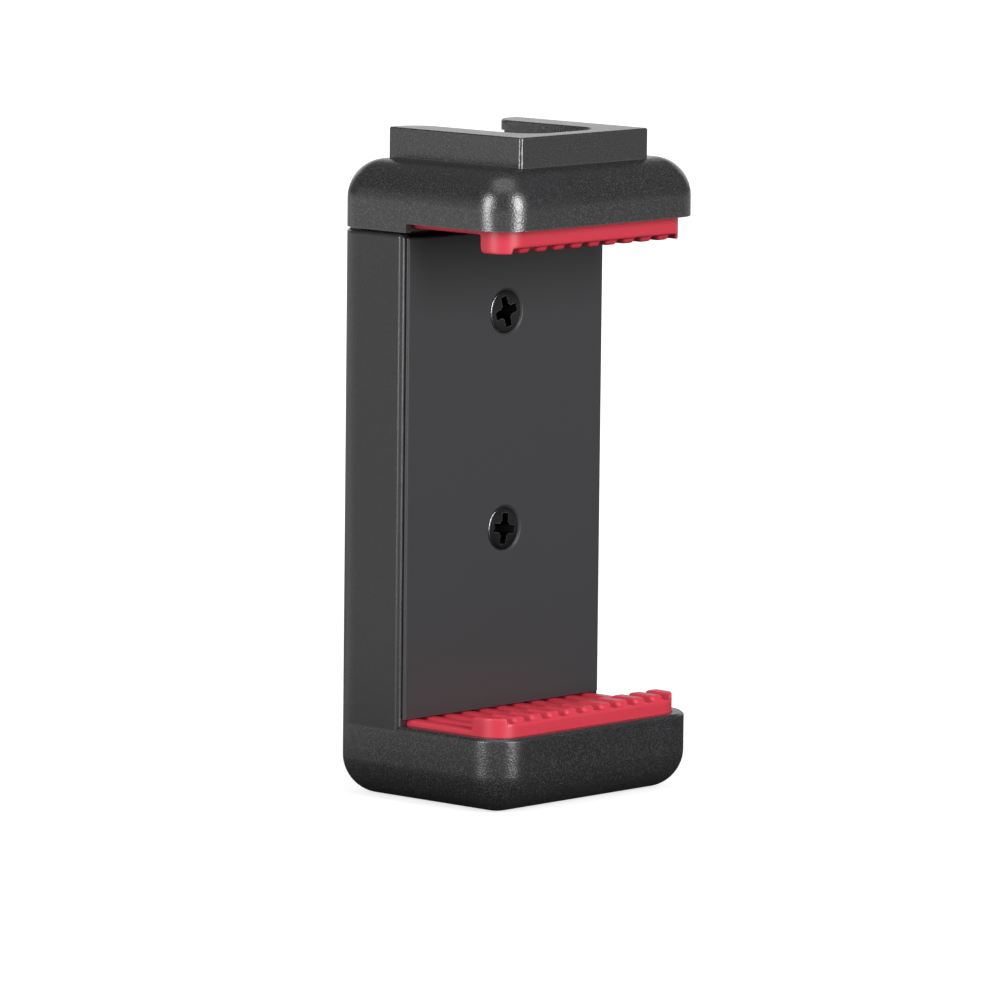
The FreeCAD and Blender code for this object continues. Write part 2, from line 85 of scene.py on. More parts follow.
# %% Picking one object
def pick(piece):
    """Makes one object the only selected and active one."""
    bpy.ops.object.select_all(action="DESELECT")
    piece.select_set(True)
    bpy.context.view_layer.objects.active = piece
    return piece


def add_object(name, data):
    """A new object in the scene."""
    piece = bpy.data.objects.new(name, data)
    bpy.context.scene.collection.objects.link(piece)
    return piece


def settle(piece, name):
    """Names a new object and bakes its place, turn and scale into its mesh."""
    pick(piece)
    piece.name = name
    piece.data.name = name
    bpy.ops.object.transform_apply(location=True, rotation=True, scale=True)
    return piece


def apply_modifiers(piece):
    """Applies every modifier of one object, in order."""
    pick(piece)
    for modifier in list(piece.modifiers):
        bpy.ops.object.modifier_apply(modifier=modifier.name)
    return piece


def triangles(piece):
    """How many triangles a mesh has."""
    return sum(len(face.vertices) - 2 for face in piece.data.polygons)


for name in frame["nodes"]:
    print("node", name, triangles(frame["nodes"][name]), "triangles")

# %% [markdown]
# ## The camera
# The photograph was taken with a long lens from the front left, a little above the table, so the
# jaws show almost no perspective. The angles, the distance and the small roll were measured from
# the corners of the shoe and the jaws. The camera's axes are worked out one by one and set as a
# matrix, so that turn, lift and roll can each be read off.

# %% The camera
CAMERA_TURN = math.radians(47.4)
CAMERA_LIFT = math.radians(7.25)
CAMERA_ROLL = math.radians(0.62)
CAMERA_LENS = 303.0
CAMERA_DISTANCE = 1.052
AIM_HEIGHT = 0.042
AIM_LEFT = 0.00205
AIM_BELOW = 0.0054
SENSOR_WIDTH = 36.0
CLIP_START = 0.05
CLIP_END = 20.0


def make_camera():
    """Camera with its axes worked out from the turn, the lift and the roll."""
    turn_sin, turn_cos = math.sin(CAMERA_TURN), math.cos(CAMERA_TURN)
    lift_sin, lift_cos = math.sin(CAMERA_LIFT), math.cos(CAMERA_LIFT)
    roll_sin, roll_cos = math.sin(CAMERA_ROLL), math.cos(CAMERA_ROLL)
    forward = Vector((turn_sin * lift_cos, turn_cos * lift_cos, -lift_sin))
    level_right = Vector((turn_cos, -turn_sin, 0))
    level_up = Vector((turn_sin * lift_sin, turn_cos * lift_sin, lift_cos))
    right = roll_cos * level_right + roll_sin * level_up
    up = roll_cos * level_up - roll_sin * level_right
    place = Vector((0, 0, AIM_HEIGHT)) - AIM_LEFT * level_right - AIM_BELOW * level_up
    place -= CAMERA_DISTANCE * forward
    data = bpy.data.cameras.new("camera")
    data.lens = CAMERA_LENS
    data.sensor_width = SENSOR_WIDTH
    data.clip_start = CLIP_START
    data.clip_end = CLIP_END
    camera = add_object("camera", data)
    axes = Matrix((right, up, -forward)).transposed().to_4x4()
    camera.matrix_world = Matrix.Translation(place) @ axes
    bpy.context.scene.camera = camera
    return camera


camera = make_camera()
print("camera at", [round(v, 3) for v in camera.matrix_world.translation])

# %% [markdown]
# ## Surface effects that several finishes share
# A moulded plastic surface is never flat: the tool's spark-eroded skin leaves a fine grain, and
# handling leaves slightly shinier and duller patches. Each effect is a node group with named
# inputs, so that every material can place it with its own values.

# %% Helpers for node groups
def new_group(name, inputs, outputs):
    """An empty shader node group with float inputs and outputs."""
    group = bpy.data.node_groups.new(name, "ShaderNodeTree")
    for label, value in inputs:
        socket = group.interface.new_socket(label, in_out="INPUT", socket_type="NodeSocketFloat")
        socket.default_value = value
    for label in outputs:
        group.interface.new_socket(label, in_out="OUTPUT", socket_type="NodeSocketFloat")
    return group, group.nodes.new("NodeGroupInput"), group.nodes.new("NodeGroupOutput")


def math_node(tree, operation, first, second, clamp=False):
    """A Math node; each operand is a socket or a number."""
    node = tree.nodes.new("ShaderNodeMath")
    node.operation = operation
    node.use_clamp = clamp
    for index, operand in enumerate((first, second)):
        if isinstance(operand, bpy.types.NodeSocket):
            tree.links.new(operand, node.inputs[index])
        else:
            node.inputs[index].default_value = operand
    return node.outputs[0]


def noise_node(tree, coordinates, scale, detail, roughness):
    """A Noise texture with its coordinates and its scale from sockets."""
    node = tree.nodes.new("ShaderNodeTexNoise")
    node.inputs["Detail"].default_value = detail
    node.inputs["Roughness"].default_value = roughness
    tree.links.new(coordinates, node.inputs["Vector"])
    tree.links.new(scale, node.inputs["Scale"])
    return node.outputs["Fac"]


# %% Moulded grain
PIT_SHARE = 0.8
FLECK_LEVEL = 0.5
FLECK_CONTRAST = 6.0


def make_grain_group():
    """Pits and bumps of a spark-eroded mould, with the flecks that catch the light."""
    inputs = [("Scale", 4000.0), ("Depth", 1.0)]
    group, taken, given = new_group("moulded_grain", inputs, ["Height", "Fleck"])
    where = group.nodes.new("ShaderNodeTexCoord").outputs["Object"]
    fine = noise_node(group, where, taken.outputs["Scale"], detail=2.0, roughness=0.6)
    cells = group.nodes.new("ShaderNodeTexVoronoi")
    cells.feature = "SMOOTH_F1"
    group.links.new(where, cells.inputs["Vector"])
    group.links.new(taken.outputs["Scale"], cells.inputs["Scale"])
    pits = math_node(group, "MULTIPLY", cells.outputs["Distance"], PIT_SHARE)
    relief = math_node(group, "ADD", fine, pits)
    height = math_node(group, "MULTIPLY", relief, taken.outputs["Depth"])
    group.links.new(height, given.inputs["Height"])
    high = math_node(group, "SUBTRACT", fine, FLECK_LEVEL)
    fleck = math_node(group, "MULTIPLY", high, FLECK_CONTRAST, clamp=True)
    group.links.new(fleck, given.inputs["Fleck"])
    return group


grain_group = make_grain_group()
print("group", grain_group.name)

# %% Handling
def make_handling_group():
    """Broad, soft patches where the surface is a little shinier or duller."""
    inputs = [("Scale", 60.0), ("Amount", 0.1)]
    group, taken, given = new_group("handling", inputs, ["Change"])
    where = group.nodes.new("ShaderNodeTexCoord").outputs["Object"]
    broad = noise_node(group, where, taken.outputs["Scale"], detail=4.0, roughness=0.55)
    centred = math_node(group, "SUBTRACT", broad, 0.5)
    change = math_node(group, "MULTIPLY", centred, taken.outputs["Amount"])
    group.links.new(change, given.inputs["Change"])
    return group


handling_group = make_handling_group()
print("group", handling_group.name)

# %% Edges: wear and painted highlights
EDGE_SAMPLES = 4


def make_edge_group():
    """Mask of the convex edges, from how far a rounded normal turns away from the true one."""
    inputs = [("Radius", 0.0003), ("Strength", 3.0)]
    group, taken, given = new_group("edge_wear_and_highlight", inputs, ["Mask"])
    rounded = group.nodes.new("ShaderNodeBevel")
    rounded.samples = EDGE_SAMPLES
    group.links.new(taken.outputs["Radius"], rounded.inputs["Radius"])
    true_normal = group.nodes.new("ShaderNodeNewGeometry").outputs["Normal"]
    along = group.nodes.new("ShaderNodeVectorMath")
    along.operation = "DOT_PRODUCT"
    group.links.new(rounded.outputs["Normal"], along.inputs[0])
    group.links.new(true_normal, along.inputs[1])
    turned = math_node(group, "SUBTRACT", 1.0, along.outputs["Value"])
    mask = math_node(group, "MULTIPLY", turned, taken.outputs["Strength"], clamp=True)
    group.links.new(mask, given.inputs["Mask"])
    return group


edge_group = make_edge_group()
print("group", edge_group.name)

# %% [markdown]
# ## Materials
# Every material starts from a Principled BSDF. Colour, roughness and bump vary by the shared
# groups; whatever is the same all over is set on the shader itself.

# %% Helpers for materials
def new_material(name):
    """A material with only its Principled BSDF and its output."""
    material = bpy.data.materials.new(name)
    material.use_nodes = True
    return material, material.node_tree, material.node_tree.nodes["Principled BSDF"]


def place_group(tree, group, **values):
    """A group node with its inputs set by name."""
    node = tree.nodes.new("ShaderNodeGroup")
    node.node_tree = group
    for label, value in values.items():
        node.inputs[label].default_value = value
    return node


def mix_colour(tree, mask, plain, other):
    """Two colours mixed by a mask; each is a socket or an RGB triple."""
    node = tree.nodes.new("ShaderNodeMix")
    node.data_type = "RGBA"
    tree.links.new(mask, node.inputs["Factor"])
    for socket, colour in ((node.inputs[6], plain), (node.inputs[7], other)):
        if isinstance(colour, bpy.types.NodeSocket):
            tree.links.new(colour, socket)
        else:
            socket.default_value = (*colour, 1.0)
    return node.outputs[2]


def add_bump(tree, shader, height, distance):
    """A Bump node at full strength from a height to the shader's normal."""
    bump = tree.nodes.new("ShaderNodeBump")
    bump.inputs["Strength"].default_value = 1.0
    bump.inputs["Distance"].default_value = distance
    tree.links.new(height, bump.inputs["Height"])
    tree.links.new(bump.outputs["Normal"], shader.inputs["Normal"])


def dress(piece, material):
    """Gives an object one material."""
    piece.data.materials.clear()
    piece.data.materials.append(material)


# %% [markdown]
# ### Black moulded plastic
# The jaws and the shoe came out of a coarsely grained mould, the shell out of a finer one, and the
# plate is nearly smooth. Modelling such a grain would take millions of faces, so a bump gives its
# relief, and paler flecks are painted glints that stand for the tiny facets catching the light. One
# function makes all three plastics, with its own grain for each.

# %% Black plastics
JAW_BLACK = (0.012, 0.012, 0.013)
SHELL_BLACK = (0.018, 0.018, 0.0195)
PLATE_BLACK = (0.042, 0.042, 0.0445)
# Colour of the flecks' painted glints
BLACK_GLINT_FLECK = (0.06, 0.06, 0.063)
# Colour of the painted highlight on the plastics' edges
BLACK_EDGE_HIGHLIGHT = (0.1, 0.1, 0.107)
PLASTIC_HANDLING = {"Scale": 70.0, "Amount": 0.12}
PLASTIC_EDGES = {"Radius": 0.00025, "Strength": 2.0}
FLECK_POLISH = -0.1
PLASTIC_IOR = 1.5


def make_black_plastic(name, black, grain_scale, grain_depth, roughness, shine, fleck_share):
    """Black plastic with a moulded grain, handling marks, flecks painted pale as glints and edges
    painted pale as highlights.
    """
    material, tree, shader = new_material(name)
    grain = place_group(tree, grain_group, Scale=grain_scale, Depth=1.0)
    handling = place_group(tree, handling_group, **PLASTIC_HANDLING)
    edges = place_group(tree, edge_group, **PLASTIC_EDGES)
    fleck = math_node(tree, "MULTIPLY", grain.outputs["Fleck"], fleck_share)
    # Paler flecks: painted glints of the grain's facets
    glint_speckled = mix_colour(tree, fleck, black, BLACK_GLINT_FLECK)
    # Pale edges: a painted highlight along the convex edges
    colour = mix_colour(tree, edges.outputs["Mask"], glint_speckled, BLACK_EDGE_HIGHLIGHT)
    tree.links.new(colour, shader.inputs["Base Color"])
    patchy = math_node(tree, "ADD", handling.outputs["Change"], roughness)
    sharper = math_node(tree, "MULTIPLY", fleck, FLECK_POLISH)
    rough = math_node(tree, "ADD", patchy, sharper)
    tree.links.new(rough, shader.inputs["Roughness"])
    add_bump(tree, shader, grain.outputs["Height"], grain_depth)
    shader.inputs["IOR"].default_value = PLASTIC_IOR
    shader.inputs["Specular IOR Level"].default_value = shine
    return material


coarse_plastic = make_black_plastic(
    "coarse_black_plastic", JAW_BLACK,
    grain_scale=5600.0, grain_depth=0.000018, roughness=0.27, shine=1.0, fleck_share=1.0,
)
fine_plastic = make_black_plastic(
    "fine_black_plastic", SHELL_BLACK,
    grain_scale=6800.0, grain_depth=0.000008, roughness=0.3, shine=0.58, fleck_share=0.5,
)
satin_plastic = make_black_plastic(
    "satin_black_plastic", PLATE_BLACK,
    grain_scale=7000.0, grain_depth=0.000003, roughness=0.36, shine=0.3, fleck_share=0.1,
)
print("plastics", coarse_plastic.name, fine_plastic.name, satin_plastic.name)

# %% [markdown]
# ### Red rubber
# The pads are satin rubber. Light sinks a little way into it, and fingers leave duller patches. A
# colour alone would look like paint, so a little light is scattered under the surface, which
# softens the shadows between the ribs.

# %% Red rubber
RED = (0.58, 0.034, 0.06)
RED_DULL = (0.5, 0.028, 0.05)
RUBBER_GRAIN_SCALE = 2500.0
RUBBER_GRAIN_DEPTH = 0.000006
RUBBER_HANDLING = {"Scale": 120.0, "Amount": 0.5}
RUBBER_DULL_SHARE = 0.25
RUBBER_ROUGHNESS = 0.42
RUBBER_ROUGHNESS_CHANGE = 0.3
RUBBER_SCATTER_SHARE = 0.08
RUBBER_SCATTER_REACH = (0.001, 0.0003, 0.0002)
RUBBER_SCATTER_SCALE = 0.6


def make_red_rubber():
    """Satin red rubber, a little duller in patches, with a faint moulded skin."""
    material, tree, shader = new_material("red_rubber")
    grain = place_group(tree, grain_group, Scale=RUBBER_GRAIN_SCALE, Depth=1.0)
    handling = place_group(tree, handling_group, **RUBBER_HANDLING)
    patches = math_node(tree, "ADD", handling.outputs["Change"], RUBBER_DULL_SHARE, clamp=True)
    colour = mix_colour(tree, patches, RED, RED_DULL)
    tree.links.new(colour, shader.inputs["Base Color"])
    patchy = math_node(tree, "MULTIPLY", handling.outputs["Change"], RUBBER_ROUGHNESS_CHANGE)
    rough = math_node(tree, "ADD", patchy, RUBBER_ROUGHNESS)
    tree.links.new(rough, shader.inputs["Roughness"])
    add_bump(tree, shader, grain.outputs["Height"], RUBBER_GRAIN_DEPTH)
    shader.inputs["Subsurface Weight"].default_value = RUBBER_SCATTER_SHARE
    shader.inputs["Subsurface Radius"].default_value = RUBBER_SCATTER_REACH
    shader.inputs["Subsurface Scale"].default_value = RUBBER_SCATTER_SCALE
    return material


red_rubber = make_red_rubber()
print("rubber", red_rubber.name)

# %% [markdown]
# ### Metals
# One function makes every metal too. The walls of the screws' recesses get a nearly black steel of
# their own, which is painted shade, because hardly any light finds its way in and out of them.

# %% Metals
METAL_HANDLING = {"Scale": 500.0, "Amount": 0.2}
METAL_EDGES = {"Radius": 0.00012, "Strength": 2.5}


def make_metal(name, colour, edge_colour, roughness, grain_scale, grain_depth):
    """Metal with fine drawing marks, handling patches and brighter edges."""
    material, tree, shader = new_material(name)
    grain = place_group(tree, grain_group, Scale=grain_scale, Depth=1.0)
    handling = place_group(tree, handling_group, **METAL_HANDLING)
    edges = place_group(tree, edge_group, **METAL_EDGES)
    tinted = mix_colour(tree, edges.outputs["Mask"], colour, edge_colour)
    tree.links.new(tinted, shader.inputs["Base Color"])
    rough = math_node(tree, "ADD", handling.outputs["Change"], roughness)
    tree.links.new(rough, shader.inputs["Roughness"])
    add_bump(tree, shader, grain.outputs["Height"], grain_depth)
    shader.inputs["Metallic"].default_value = 1.0
    return material


black_steel = make_metal(
    "black_plated_steel", colour=(0.06, 0.06, 0.063), edge_colour=(0.6, 0.6, 0.61),
    roughness=0.25, grain_scale=6000.0, grain_depth=0.000006,
)
# Painted shade: a nearly black steel on the recess walls, standing for the shade inside them
recess_painted_shade = make_metal(
    "recess_painted_shade_steel", colour=(0.008, 0.008, 0.009), edge_colour=(0.03, 0.03, 0.03),
    roughness=0.55, grain_scale=6000.0, grain_depth=0.000005,
)
spring_steel = make_metal(
    "spring_wire", colour=(0.56, 0.56, 0.57), edge_colour=(0.7, 0.7, 0.7),
    roughness=0.25, grain_scale=5000.0, grain_depth=0.000004,
)
pin_steel = make_metal(
    "ground_pin_steel", colour=(0.6, 0.6, 0.61), edge_colour=(0.75, 0.75, 0.75),
    roughness=0.2, grain_scale=8000.0, grain_depth=0.000002,
)
brass = make_metal(
    "turned_brass", colour=(0.72, 0.5, 0.2), edge_colour=(0.85, 0.66, 0.35),
    roughness=0.25, grain_scale=5000.0, grain_depth=0.000004,
)
for metal in (black_steel, recess_painted_shade, spring_steel, pin_steel, brass):
    print("metal", metal.name)

# %% [markdown]
# ## Moulded edges
# A mould can't make a knife edge, and the small radii are what draws thin lines of light round a
# black object. A Bevel node in the material would only bend the light and leave the outline
# sharp, so the edges are rounded in the mesh. A copy of each moulding is merged and its flat areas
# are joined up, and a narrow bevel runs along every edge that turns sharply. Weighted normals then
# keep the large flats even right up to their bevels.

# %% Copies of nodes
MERGE_GAP = 1e-7
FLAT_TURN = math.radians(0.2)
SMOOTH_TURN = math.radians(40)


def copy_node(node, name, join_flats=True):
    """A copy of a node's mesh with its corners merged and its flat areas joined up."""
    piece = add_object(name, frame["nodes"][node].data.copy())
    pick(piece)
    bpy.ops.mesh.customdata_custom_splitnormals_clear()
    bpy.ops.object.mode_set(mode="EDIT")
    bpy.ops.mesh.select_all(action="SELECT")
    bpy.ops.mesh.remove_doubles(threshold=MERGE_GAP)
    if join_flats:
        bpy.ops.mesh.dissolve_limited(angle_limit=FLAT_TURN)
    bpy.ops.object.mode_set(mode="OBJECT")
    return piece


# %% Softening the mouldings
EDGE_TURN = math.radians(28)
EDGE_WIDTH = 0.12 * MM
EDGE_SEGMENTS = 2
FLAT_WEIGHT = 100


def soften(node, name):
    """A copy of a node with narrow rounded edges, standing for that node."""
    source = frame["nodes"][node]
    piece = copy_node(node, name)
    bevel = piece.modifiers.new("moulded_edges", "BEVEL")
    bevel.width = EDGE_WIDTH
    bevel.segments = EDGE_SEGMENTS
    bevel.limit_method = "ANGLE"
    bevel.angle_limit = EDGE_TURN
    bevel.use_clamp_overlap = True
    apply_modifiers(piece)
    bpy.ops.object.shade_smooth_by_angle(angle=SMOOTH_TURN)
    flats = piece.modifiers.new("even_flats", "WEIGHTED_NORMAL")
    flats.weight = FLAT_WEIGHT
    flats.keep_sharp = True
    apply_modifiers(piece)
    body = source["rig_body"]
    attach(piece, body)
    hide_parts(node)
    print(name, triangles(piece), "triangles")
    return piece


frame_moulding = soften("front_frame", "lower_jaw_and_plate")
shell_moulding = soften("rear_shell", "rear_shell_moulding")
jaw_moulding = soften("upper_jaw", "sliding_jaw_moulding")
dress(frame_moulding, coarse_plastic)
dress(shell_moulding, fine_plastic)
dress(jaw_moulding, coarse_plastic)

# %% [markdown]
# ### The plate's own finish
# The upright plate belongs to the same moulding as the lower jaw, but it is smoother. It gets a
# second material instead of becoming a piece of its own, and its faces are picked by their height
# above the jaw's rim.

# %% The plate's own finish
LOWER_RIM = 9.6 * MM
RIM_MARGIN = 0.05 * MM


def finish_plate(piece, above):
    """Gives the upright plate, the faces above the lower jaw's rim, the satin finish."""
    piece.data.materials.append(satin_plastic)
    count = 0
    for face in piece.data.polygons:
        if face.center.z > above:
            face.material_index = 1
            count += 1
    return count


print("faces of the plate:", finish_plate(frame_moulding, LOWER_RIM + RIM_MARGIN))

# %% [markdown]
# ## Rubber pads
# The pads are moulded in soft rubber: no edge is sharp, and the ribs run into the lip with small
# fillets. A copy of each pad is remade in small cells and smoothed, which rounds the outside edges
# and fills the inside corners in one step, as the rubber does.

# %% Soft pads
PAD_CELL = 0.19 * MM
PAD_SMOOTHING = 5
PAD_SMOOTHING_SHARE = 0.5


def soft_pad(node, name):
    """A rubber pad remade from its node with every edge softened."""
    source = frame["nodes"][node]
    pad = copy_node(node, name, join_flats=False)
    pad.data.remesh_voxel_size = PAD_CELL
    bpy.ops.object.voxel_remesh()
    smooth = pad.modifiers.new("rubber_edges", "SMOOTH")
    smooth.factor = PAD_SMOOTHING_SHARE
    smooth.iterations = PAD_SMOOTHING
    apply_modifiers(pad)
    bpy.ops.object.shade_smooth()
    dress(pad, red_rubber)
    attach(pad, source["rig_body"])
    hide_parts(node)
    print(name, triangles(pad), "triangles")
    return pad


soft_pad("lower_pad", "lower_rubber_pad")
soft_pad("upper_pad", "upper_rubber_pad")

# %% [markdown]
# ## Screws
# Two black countersunk screws with a cross recess hold the plate to the shell. A screw is turned
# round its axis, so one half section, spun a full turn, gives the domed head, the shank and the
# point together, with no seams between them.

# %% Screw blank
HEAD_RADIUS = 2.9 * MM
HEAD_GAP = 0.2 * MM
HEAD_DOME = 0.1 * MM
HEAD_DEPTH = 1.45 * MM
# Domed face of the head: share of the radius, share of the dome's height
HEAD_FACE = ((0.0, -1.0), (0.35, -0.88), (0.62, -0.55), (0.83, -0.05))
# Its rim: how far inside the edge, share of the dome's height
HEAD_RIM = ((0.06 * MM, 0.3), (0.0, 0.7), (0.0, 1.2))
SHANK_ROOT = 1.15 * MM
SHANK_CREST = 1.42 * MM
SHANK_NECK = 0.15 * MM
SCREW_LENGTH = 9.0 * MM
SCREW_TIP = 1.6 * MM
TIP_RADIUS = 0.7 * MM
TIP_POINT = 0.1 * MM
SPIN_STEPS = 64
SPIN_MERGE_GAP = 1e-6


def half_section(name, points):
    """A chain of edges in the XY plane from a list of (radius, depth) points."""
    data = bpy.data.meshes.new(name)
    edges = [(index, index + 1) for index in range(len(points) - 1)]
    data.from_pydata([(radius, depth, 0.0) for radius, depth in points], edges, [])
    return pick(add_object(name, data))


def spin_round(piece):
    """Spins the selected chain a full turn round the Y axis and closes it."""
    bpy.ops.object.mode_set(mode="EDIT")
    bpy.ops.mesh.select_all(action="SELECT")
    bpy.ops.mesh.spin(steps=SPIN_STEPS, angle=2 * math.pi, center=(0, 0, 0), axis=(0, 1, 0))
    bpy.ops.mesh.select_all(action="SELECT")
    bpy.ops.mesh.remove_doubles(threshold=SPIN_MERGE_GAP)
    bpy.ops.mesh.normals_make_consistent(inside=False)
    bpy.ops.object.mode_set(mode="OBJECT")
    return piece


def screw_blank(name):
    """Domed countersunk head, shank and point, with the head's face at the origin."""
    rim = HEAD_RADIUS - HEAD_GAP
    points = [(across * HEAD_RADIUS, rise * HEAD_DOME) for across, rise in HEAD_FACE]
    points += [(rim - inside, drop * HEAD_DOME) for inside, drop in HEAD_RIM]
    points += [
        (SHANK_CREST, HEAD_DEPTH),
        (SHANK_ROOT, HEAD_DEPTH + SHANK_NECK),
        (SHANK_ROOT, SCREW_LENGTH - SCREW_TIP),
        (TIP_RADIUS, SCREW_LENGTH - TIP_POINT),
        (0.0, SCREW_LENGTH),
    ]
    return spin_round(half_section(name, points))


# %% [markdown]
# ### Threads
# A bump could stand for a thread, but its crests show in the outline. A Screw modifier winds one
# triangle round the axis, which gives a true helix. Its open ends are filled, so that it is closed
# when it is joined to a screw or cut out of the insert.

# %% Winding a thread
def wound_thread(name, triangle, axis, pitch, turns, steps):
    """A closed triangular ridge wound round an axis through the origin."""
    data = bpy.data.meshes.new(name)
    data.from_pydata(triangle, [(0, 1), (1, 2), (2, 0)], [])
    ridge = pick(add_object(name, data))
    winding = ridge.modifiers.new("winding", "SCREW")
    winding.axis = axis
    winding.angle = 2 * math.pi
    winding.screw_offset = pitch
    winding.iterations = turns
    winding.steps = steps
    winding.render_steps = steps
    winding.use_merge_vertices = False
    apply_modifiers(ridge)
    bpy.ops.object.mode_set(mode="EDIT")
    bpy.ops.mesh.select_all(action="SELECT")
    bpy.ops.mesh.remove_doubles(threshold=MERGE_GAP)
    bpy.ops.mesh.select_all(action="SELECT")
    bpy.ops.mesh.fill_holes(sides=3)
    bpy.ops.mesh.select_all(action="SELECT")
    bpy.ops.mesh.normals_make_consistent(inside=False)
    bpy.ops.object.mode_set(mode="OBJECT")
    return ridge


# %% Cutting and joining
def cut_with(piece, cutter):
    """Cuts one closed mesh out of another, with the cutter's material on the walls it leaves."""
    cut = piece.modifiers.new("cut", "BOOLEAN")
    cut.operation = "DIFFERENCE"
    cut.solver = "EXACT"
    cut.material_mode = "TRANSFER"
    cut.object = cutter
    apply_modifiers(piece)
    bpy.data.objects.remove(cutter)
    return piece


def join_onto(piece, other):
    """Joins a second mesh into the first."""
    bpy.ops.object.select_all(action="DESELECT")
    other.select_set(True)
    piece.select_set(True)
    bpy.context.view_layer.objects.active = piece
    bpy.ops.object.join()
    return piece


# %% [markdown]
# ### Cross recess
# A screwdriver's tip is four wings that taper towards a point. The same shape, made of two blades and
# a cone, is cut out of the head, and its nearly black steel, painted shade, stays on the walls that
# it leaves. A narrow bevel then rounds the edges, as pressing does.

# %% Cross recess
RECESS_SPAN = 4.1 * MM
RECESS_WIDTH = 1.15 * MM
RECESS_DEPTH = 2.0 * MM
RECESS_FOOT = (0.3, 1.0, 0.62)
RECESS_CORE = 1.1 * MM
CORE_TAPER = 0.55
CORE_POINT = 1.15
CORE_RISE = 3 * HEAD_DOME
SAME_DEPTH = 1e-6


def recess_blade(turn):
    """One tapered blade of the screwdriver's tip, entering from -Y."""
    bpy.ops.object.select_all(action="DESELECT")
    bpy.ops.mesh.primitive_cube_add(size=1.0, location=(0, RECESS_DEPTH / 2 - HEAD_DOME, 0))
    blade = bpy.context.active_object
    blade.scale = (RECESS_SPAN, RECESS_DEPTH + 2 * HEAD_DOME, RECESS_WIDTH)
    settle(blade, "recess_blade")
    bpy.ops.object.mode_set(mode="EDIT")
    bpy.ops.mesh.select_all(action="DESELECT")
    bpy.ops.object.mode_set(mode="OBJECT")
    deepest = max(vertex.co.y for vertex in blade.data.vertices)
    for vertex in blade.data.vertices:
        vertex.select = vertex.co.y > deepest - SAME_DEPTH
    bpy.ops.object.mode_set(mode="EDIT")
    bpy.ops.transform.resize(value=RECESS_FOOT, center_override=(0, deepest, 0))
    bpy.ops.object.mode_set(mode="OBJECT")
    blade.rotation_euler = (0, turn, 0)
    dress(blade, recess_painted_shade)
    return settle(blade, "recess_blade")


def recess_core(turn):
    """The pointed middle of the screwdriver's tip."""
    points = [
        (0.0, -CORE_RISE),
        (RECESS_CORE, -CORE_RISE),
        (RECESS_CORE * CORE_TAPER, RECESS_DEPTH),
        (0.0, RECESS_DEPTH * CORE_POINT),
    ]
    core = half_section("recess_core", points)
    core.rotation_euler = (0, turn, 0)
    settle(core, "recess_core")
    dress(core, recess_painted_shade)
    return spin_round(core)


# %% Finished screws
LOWER_SCREW_TURN = math.radians(8)
UPPER_SCREW_TURN = math.radians(-15)
PRESSED_EDGE = 0.09 * MM
PRESSED_SEGMENTS = 2
PRESSED_TURN = math.radians(35)
THREAD_PITCH = 1.0 * MM
THREAD_TURNS = 5
THREAD_STEPS = 24
THREAD_START = 0.3 * MM
THREAD_HALF = 0.3 * MM
THREAD_SINK = 0.1 * MM


def make_screw(node, name, turn):
    """A finished screw in the place of its node."""
    low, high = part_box(node)
    screw = screw_blank(name)
    dress(screw, black_steel)
    for quarter in (0, math.pi / 2):
        cut_with(screw, recess_blade(turn + quarter))
    cut_with(screw, recess_core(turn + math.pi / 4))
    edges = screw.modifiers.new("pressed_edges", "BEVEL")
    edges.width = PRESSED_EDGE
    edges.segments = PRESSED_SEGMENTS
    edges.limit_method = "ANGLE"
    edges.angle_limit = PRESSED_TURN
    edges.material = 0
    apply_modifiers(screw)
    start = HEAD_DEPTH + THREAD_START
    ridge = [
        (SHANK_ROOT - THREAD_SINK, start, 0.0),
        (SHANK_CREST, start + THREAD_HALF, 0.0),
        (SHANK_ROOT - THREAD_SINK, start + 2 * THREAD_HALF, 0.0),
    ]
    thread = wound_thread("screw_thread", ridge, "Y", THREAD_PITCH, THREAD_TURNS, THREAD_STEPS)
    join_onto(screw, thread)
    screw.location = (0, low[1], (low[2] + high[2]) / 2)
    settle(screw, name)
    bpy.ops.object.shade_smooth_by_angle(angle=SMOOTH_TURN)
    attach(screw, "holder")
    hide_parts(node)
    print(name, triangles(screw), "triangles")
    return screw


make_screw("lower_plate_screw", "lower_cross_screw", LOWER_SCREW_TURN)
make_screw("upper_plate_screw", "upper_cross_screw", UPPER_SCREW_TURN)

# %% [markdown]
# ## Springs
# Each tension spring is one wire: a ring round the lower pin, a stem, the coil, and a ring round the
# upper pin. A Screw modifier could wind the coil, but the rings would then have to be joined to it. A
# curve follows the whole route instead, with the coil's turns worked out by a loop.

# %% Springs
WIRE_RADIUS = 0.35 * MM
RING_RADIUS = 1.55 * MM
RING_OPEN = math.radians(35)
RING_POINTS = 14
COIL_GAP = 3.4 * MM
COIL_TURNS = 24
TURN_POINTS = 16
WIRE_DETAIL = 3
WIRE_ORDER = 3


def ring_points(centre, toward):
    """Points of one end ring in the YZ plane, from its free end to its top."""
    points = []
    for index in range(RING_POINTS + 1):
        angle = RING_OPEN + index * (2 * math.pi - RING_OPEN) / RING_POINTS
        across = RING_RADIUS * math.sin(angle)
        along = toward * RING_RADIUS * math.cos(angle)
        points.append(centre + Vector((0, across, along)))
    return points


def coil_points(middle, bottom, top, radius):
    """Points of the coil from its lower end to its upper end."""
    points = []
    count = COIL_TURNS * TURN_POINTS
    for index in range(count + 1):
        angle = 2 * math.pi * index / TURN_POINTS
        height = bottom + (top - bottom) * index / count
        sideways = middle.x + radius * math.cos(angle)
        backwards = middle.y + radius * math.sin(angle)
        points.append(Vector((sideways, backwards, height)))
    return points


